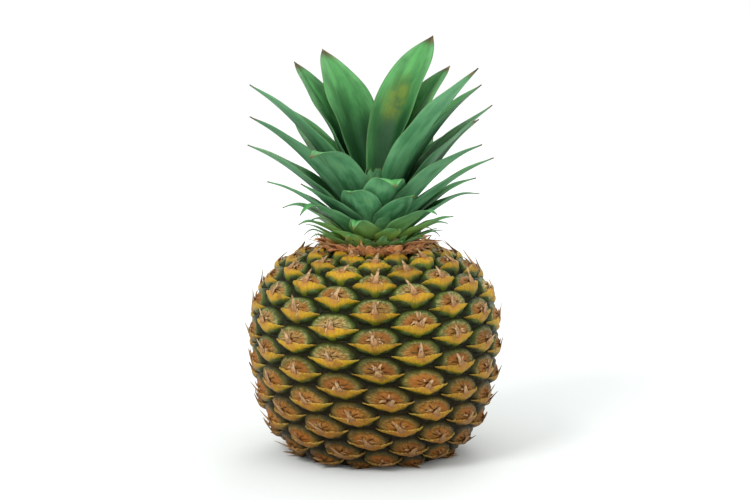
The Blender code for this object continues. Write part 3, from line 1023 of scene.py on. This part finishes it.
def build_collar():
    """Papery scales where the crown leaves the fruit: the CAD ones, and a ragged fringe."""
    look = scale_material()
    neck = fruit_high.z
    for index, node in enumerate(sorted(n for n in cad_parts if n.startswith("collar_scale"))):
        chance = random.Random(500 + index)
        azimuth = Blade(node).azimuth
        lean = (chance.uniform(60, 68), chance.uniform(74, 92))
        root = (17.9 * MM, neck + chance.uniform(0.6, 2.2) * MM)
        length, width = chance.uniform(13, 17) * MM, chance.uniform(9, 12) * MM
        blade = OwnBlade(azimuth, *root, lean, length, width)
        shape = leaf_shape(0.30, 0.85, chance.uniform(1.2, 2.0))
        cup, twist = chance.uniform(0.1, 0.4), chance.uniform(-0.3, 0.3)
        sheet = blade_points(blade, chance, 17, 11, shape, cup, twist=twist)
        scale = add_blade(node + "_look", *sheet, 0.7 * MM, look, tone=chance.random())
        show(scale, "collar_scale", node)
    fringe = Sheets()
    chance = random.Random(900)
    draw = chance.uniform
    for k in range(96):
        azimuth = k * GOLDEN_ANGLE + draw(-8, 8)
        kind = k % 4
        if kind < 2:  # standing on the fruit's shoulder, in front of the lowest leaves
            lean, length, width = (draw(24, 46), draw(30, 66)), draw(6.5, 9.0), draw(5.0, 8.5)
            root = (draw(22.0, 26.5), draw(-0.6, 0.2))
        elif kind == 2:  # spread over the shoulder
            lean, length, width = (draw(62, 80), draw(84, 104)), draw(9, 14), draw(3, 6)
            root = (draw(19.5, 24.0), draw(0.2, 1.4))
        else:  # teeth and hairs
            lean, length, width = (draw(30, 80), draw(20, 110)), draw(7, 13), draw(0.8, 2.0)
            root = (draw(20, 27), draw(0.2, 1.2))
        blade = OwnBlade(azimuth, root[0] * MM, neck + root[1] * MM, lean, length * MM, width * MM)
        shape = leaf_shape(0.3, 0.85, draw(0.9, 2.2))
        sheet = blade_points(blade, chance, 13, 7, shape, cup=draw(0, 0.5), twist=draw(-0.5, 0.5))
        gather_blade(fringe, *sheet, 0.5 * MM, tone=chance.random())
    show(fringe.build("collar_fringe", look), "collar_scale")


def build_stub(material):
    """The dry end of the cut stalk: a rough ringed disc with a worn rim."""
    low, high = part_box("stalk_stub")
    radius = (high.x - low.x) / 2
    rings, sides = 26, 96
    turn = np.linspace(0, 2 * math.pi, sides, endpoint=False)
    share = np.linspace(0, 1, rings)[1:, None]
    nicks = np.abs(np.sin(5.5 * turn + 1)) * np.sin(2 * turn) ** 2
    reach = radius * share * (1 - 0.018 * share * nicks)
    dish = 0.9 * (1 - share**6) + 0.18 * np.sin(share * 26 + 1.5 * np.sin(3 * turn))
    depth = np.clip(dish - 0.25 * np.sin(turn * 2 + 1) * share, 0, None) * MM * (1 - share**8)
    bottom = np.stack([reach * np.sin(turn), -reach * np.cos(turn), low.z + depth], -1)
    wall = np.stack([radius * np.sin(turn), -radius * np.cos(turn), np.full(sides, high.z)], -1)
    points = np.concatenate([[[0, 0, low.z + 0.9 * MM]], bottom.reshape(-1, 3), wall])
    faces = [(0, 1 + (i + 1) % sides, 1 + i) for i in range(sides)]
    faces += grid_faces(rings, sides, 1, wrap=True, flip=True)
    faces.append(tuple(range(1 + (rings - 1) * sides, 1 + rings * sides)))
    sheets = Sheets()
    sheets.add(points, faces)
    show(sheets.build("stalk_stub_look", material), "cut_stalk", "stalk_stub")


# ---- the stage


FLOOR_SIZE, BACKDROP_LIGHT = 40.0, 1.03
FLOOR_DIM_TO, FLOOR_PALE_FROM = 0.7, 1.9  # distances from the fruit
AIM = (0, 0, 0.11)
# Name, place, diameter and power of each soft lamp
LAMPS = (
    ("key", (-0.75, -0.95, 1.15), 0.6, 14),
    ("fill", (1.1, -0.7, 0.55), 0.9, 3),
    ("back", (0.3, 1.1, 0.9), 0.8, 6),
)
CAMERA_LENS, SENSOR_WIDTH = 100, 36
CAMERA_RISE, CAMERA_DISTANCE = math.radians(8.5), 1.10


def build_stage():
    """The floor, the even pale surroundings, the lamps and the camera."""
    g = Graph("stage_floor")
    # painted shade: the floor is darker and cooler near the fruit, offsetting the lamps' stronger
    # light and the warm light thrown off the fruit there, and pale far off
    reach = g.node("VectorMath", {"operation": "LENGTH"}, Vector=g.place())
    far = g.band(reach.outputs["Value"], FLOOR_DIM_TO, FLOOR_PALE_FROM)
    pale = g.mix(far, (0.725, 0.755, 0.745), (0.99, 0.99, 0.99))
    g.surface(Base_Color=pale, Roughness=0.9, Specular_IOR_Level=0.1)
    bm = bmesh.new()
    bmesh.ops.create_grid(bm, x_segments=2, y_segments=2, size=FLOOR_SIZE)
    mesh = bpy.data.meshes.new("stage_floor")
    bm.to_mesh(mesh)
    bm.free()
    mesh.materials.append(g.material)
    floor = bpy.data.objects.new("stage_floor", mesh)
    bpy.context.scene.collection.objects.link(floor)

    world = bpy.data.worlds.new("studio")
    world.use_nodes = True
    backdrop = world.node_tree.nodes["Background"]
    backdrop.inputs["Color"].default_value = (1.0, 1.0, 1.0, 1)
    backdrop.inputs["Strength"].default_value = BACKDROP_LIGHT
    bpy.context.scene.world = world

    for name, place, size, power in LAMPS:
        light = bpy.data.lights.new(name, "AREA")
        light.shape = "DISK"
        light.size = size
        light.energy = power
        lamp = bpy.data.objects.new(name, light)
        bpy.context.scene.collection.objects.link(lamp)
        lamp.location = place
        lamp.rotation_euler = (Vector(AIM) - Vector(place)).to_track_quat("-Z", "Y").to_euler()

    camera = bpy.data.cameras.new("camera")
    camera.lens = CAMERA_LENS
    camera.sensor_width = SENSOR_WIDTH
    viewer = bpy.data.objects.new("camera", camera)
    bpy.context.scene.collection.objects.link(viewer)
    target = Vector((0, 0, (cad_low.z + cad_high.z) / 2 - 2 * MM))
    away = Vector((0, -math.cos(CAMERA_RISE), math.sin(CAMERA_RISE)))
    viewer.location = target + CAMERA_DISTANCE * away
    viewer.rotation_euler = (target - viewer.location).to_track_quat("-Z", "Y").to_euler()
    bpy.context.scene.camera = viewer
    bpy.context.scene.view_settings.view_transform = "Standard"


def main():
    chance = random.Random(11)
    eyes = [Eye(column, row, chance) for column, row in EYES]
    show(build_skin(eyes, skin_material()), "fruit_skin", "fruit")
    show(build_bracts(eyes, bract_material()), "fruit_skin")
    show(build_spines(eyes, spine_material()), "fruit_skin")
    leaf_look = build_leaves()
    build_heart(leaf_look)
    build_base_leaves(leaf_look)
    build_collar()
    build_stem(stem_material())
    build_stub(stalk_material())
    build_stage()


main()
